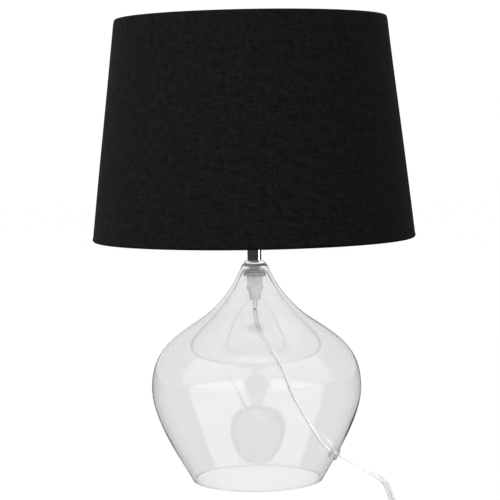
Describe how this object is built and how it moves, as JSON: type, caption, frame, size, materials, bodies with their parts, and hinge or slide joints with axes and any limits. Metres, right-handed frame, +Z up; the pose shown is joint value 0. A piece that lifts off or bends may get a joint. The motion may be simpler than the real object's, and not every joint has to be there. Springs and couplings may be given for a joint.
{
  "type": "table lamp",
  "caption": "Table lamp with a clear blown-glass body, chrome neck, screw-in bulb holder, tapered black fabric shade and a flat clear cord with inline switch and plug.",
  "frame": {"origin": "centre of the glass base's rim, on the surface the lamp stands on", "axes": "+Z up along the lamp's axis; +X towards the side where the cord leaves the glass, which is the viewer's right; -Y towards the viewer"},
  "size_m": [0.3, 0.4078, 0.4305],
  "materials": {
    "clear_glass": "clear blown glass, smooth",
    "clear_plastic": "clear moulded plastic, slightly milky",
    "cord_jacket": "clear soft vinyl over two tinned cores",
    "wire_jacket": "soft insulation",
    "chrome": "polished",
    "nickel": "bright nickel",
    "zinc_steel": "zinc-plated",
    "brass": "plain pressed brass",
    "holder_plastic": "black thermoset, satin",
    "ceramic_white": "glazed white",
    "white_frame": "white powder coat",
    "shade_liner": "satin white sheet",
    "black_fabric": "fine plain weave, matt",
    "opal_glass": "frosted opal envelope",
    "black_glass": "vitrified insulator",
    "led_white": "satin",
    "white_plastic": "moulded, semi-gloss",
    "sleeve_plastic": "moulded"
  },
  "bodies": {
    "lamp": {"glass_body": "clear_glass", "top_gasket": "clear_plastic", "top_washer": "chrome", "neck_tube": "chrome", "threaded_tube": "zinc_steel", "lower_gasket": "clear_plastic", "lower_washer": "chrome", "tube_nut": "clear_plastic", "grip_body": "clear_plastic", "grip_nut": "clear_plastic", "holder_cap": "holder_plastic", "holder_nut": "zinc_steel", "holder_shell": "holder_plastic", "holder_insert": "ceramic_white", "screw_sleeve": "brass", "centre_contact": "brass", "terminal_screws": "zinc_steel", "inner_wires": "wire_jacket", "lower_shade_ring": "holder_plastic", "cord_grommet": "clear_plastic", "lamp_cord": "cord_jacket", "link_cord": "cord_jacket", "cord_coil": "cord_jacket", "tail_cord": "cord_jacket", "switch_base": "white_plastic", "switch_cover": "white_plastic", "switch_contacts": "brass", "switch_screws": "zinc_steel", "plug_body": "white_plastic", "plug_pins": "nickel", "pin_sleeves": "sleeve_plastic"},
    "shade_ring": {"upper_shade_ring": "holder_plastic"},
    "shade": {"shade_fitter": "white_frame", "bottom_wire_ring": "white_frame", "top_wire_ring": "white_frame", "shade_liner": "shade_liner", "shade_fabric": "black_fabric"},
    "bulb": {"bulb_globe": "opal_glass", "bulb_cap": "nickel", "bulb_insulator": "black_glass", "bulb_contact": "nickel", "led_post": "led_white"},
    "rocker": {"switch_rocker": "white_plastic"}
  },
  "joints": [
    {"name": "shade_lift", "type": "slide", "parent": "lamp", "child": "shade_ring", "axis": [0, 0, 1], "range_m": [0, 0.11]},
    {"name": "shade_turn", "type": "hinge", "parent": "shade_ring", "child": "shade", "pos_m": [0, 0, 0.263], "axis": [0, 0, 1], "continuous": true},
    {"name": "bulb_out", "type": "slide", "parent": "lamp", "child": "bulb", "axis": [0, 0, 1], "range_m": [0, 0.03]},
    {"name": "switch_rock", "type": "hinge", "parent": "lamp", "child": "rocker", "pos_m": [0.052, -0.184, 0.0133], "axis": [0, -1, 0], "range_deg": [0, 14]}
  ]
}
